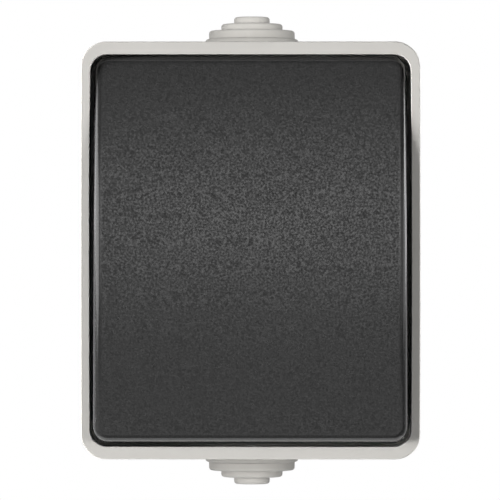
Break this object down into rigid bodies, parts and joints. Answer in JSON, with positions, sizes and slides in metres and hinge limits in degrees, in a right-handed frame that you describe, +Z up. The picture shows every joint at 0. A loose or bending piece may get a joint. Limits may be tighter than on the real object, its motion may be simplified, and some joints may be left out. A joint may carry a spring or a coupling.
{
  "type": "surface-mounted weatherproof rocker light switch",
  "caption": "Weatherproof surface-mounted light switch: light grey back box and frame, large dark textured rocker, stepped rubber cable grommets above and below.",
  "frame": {"origin": "centre of the back face that lies on the wall", "axes": "+X to the right seen from the front, +Y into the wall, +Z up; the rocker faces -Y"},
  "size_m": [0.0662, 0.0458, 0.0936],
  "materials": {
    "housing_grey": "satin moulded, light warm grey",
    "rocker_anthracite": "fine spark-eroded texture with a polished edge",
    "grommet_rubber": "matte light grey",
    "seal_rubber": "matte black",
    "mechanism_white": "natural moulded",
    "mechanism_dark": "thermoset block",
    "terminal_brass": "stamped strip",
    "contact_silver": "silver rivet",
    "plated_steel": "bright zinc plate"
  },
  "bodies": {
    "housing": {"base_box": "housing_grey", "front_frame": "housing_grey", "grommet_top": "grommet_rubber", "grommet_bottom": "grommet_rubber", "cover_gasket": "seal_rubber", "collar_seal": "seal_rubber", "pivot_bracket": "mechanism_white", "switch_body": "mechanism_dark", "terminal_upper": "terminal_brass", "terminal_lower": "terminal_brass", "terminal_common": "terminal_brass", "fixed_rivets": "contact_silver", "clamp_plates": "plated_steel", "terminal_screws": "plated_steel", "mechanism_screws": "plated_steel", "cover_screws": "plated_steel"},
    "rocker": {"rocker": "rocker_anthracite", "cradle": "mechanism_white", "toggle_spring": "plated_steel"},
    "plunger": {"plunger": "mechanism_white"},
    "contact": {"contact_blade": "terminal_brass", "moving_rivets": "contact_silver"}
  },
  "joints": [
    {"name": "rocker_pivot", "type": "hinge", "parent": "housing", "child": "rocker", "pos_m": [0, -0.03809, 0], "axis": [1, 0, 0], "range_deg": [0, 9]},
    {"name": "contact_flip", "type": "hinge", "parent": "housing", "child": "contact", "pos_m": [0, -0.0132, 0], "axis": [1, 0, 0], "range_deg": [-18, 0]},
    {"name": "plunger_slide", "type": "slide", "parent": "rocker", "child": "plunger", "axis": [0, -0.9969, 0.0785], "range_m": [0, 0.0006], "stiffness_N_per_m": 120, "springref_m": -0.004, "deforming": ["toggle_spring"]}
  ],
  "couplings": [
    {"joint": "contact_flip", "follows": "rocker_pivot", "ratio": -2}
  ]
}
